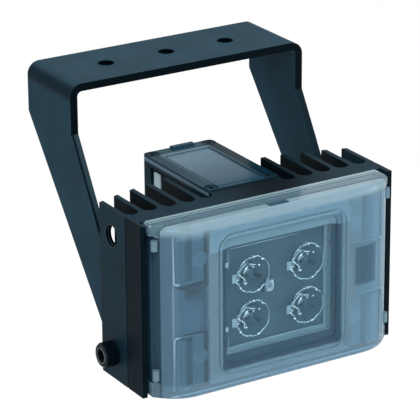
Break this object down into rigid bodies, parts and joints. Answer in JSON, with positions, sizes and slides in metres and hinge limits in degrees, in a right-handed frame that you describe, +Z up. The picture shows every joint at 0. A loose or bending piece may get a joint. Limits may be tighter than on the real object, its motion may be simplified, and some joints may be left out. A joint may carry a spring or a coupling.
{
  "type": "white light illuminator",
  "caption": "Finned black metal lamp head with a frosted front cover, a window over lensed lamps and a control chamber behind, tilting on a folded steel bracket that bolts up by its flat face.",
  "frame": {"origin": "centre of the bracket's flat mounting face, on the middle one of its three fixing holes", "axes": "+Z up out of the mounting face, -Y to the front where the light goes, +X to the viewer's right as seen from the front"},
  "size_m": [0.11, 0.0915, 0.1081],
  "materials": {
    "bracket_paint": "satin",
    "black_screw": "satin",
    "nylon": "matte",
    "black_anodised": "satin",
    "frosted_cover": "frosted",
    "rubber_seal": "matte",
    "steel_screw": "satin",
    "white_pad": "matte",
    "frame_plastic": "matte",
    "bare_aluminium": "satin",
    "soft_pad": "matte",
    "lamp_board": "satin",
    "lamp_body": "gloss",
    "clear_lens": "gloss",
    "clear_sensor": "gloss",
    "lead_cover": "satin",
    "smoked_lid": "gloss",
    "cap_metal": "satin",
    "gland_plastic": "satin",
    "green_board": "satin",
    "terminal_plastic": "satin",
    "adjuster_plastic": "satin",
    "brass_rotor": "satin",
    "capacitor_can": "gloss",
    "coil_ferrite": "matte"
  },
  "bodies": {
    "bracket": {"bracket": "bracket_paint", "pivot_screws": "black_screw"},
    "head": {"pivot_bushes": "nylon", "heat_sink": "black_anodised", "front_cover": "frosted_cover", "cover_seal": "rubber_seal", "cover_screws": "steel_screw", "side_pads": "white_pad", "window_frame": "frame_plastic", "heat_spreader": "bare_aluminium", "thermal_pad": "soft_pad", "led_board": "lamp_board", "board_screws": "steel_screw", "led_emitters": "lamp_body", "led_lenses": "clear_lens", "light_sensor": "clear_sensor", "led_leads": "lead_cover", "chamber_lid": "smoked_lid", "lid_seal": "rubber_seal", "lid_screws": "steel_screw", "bottom_cap": "cap_metal", "bottom_seal": "rubber_seal", "bottom_screws": "steel_screw", "gland_body": "gland_plastic", "gland_locknut": "gland_plastic", "gland_seal": "rubber_seal", "gland_nut": "gland_plastic", "control_board": "green_board", "terminal_block": "terminal_plastic", "terminal_screws": "steel_screw", "adjusters": "adjuster_plastic", "adjuster_rotors": "brass_rotor", "capacitor": "capacitor_can", "driver_coil": "coil_ferrite", "breather_patch": "white_pad"}
  },
  "joints": [
    {"name": "tilt", "type": "hinge", "parent": "bracket", "child": "head", "pos_m": [0, -0.04765, -0.0856], "axis": [1, 0, 0], "range_deg": [-28, 90]}
  ]
}
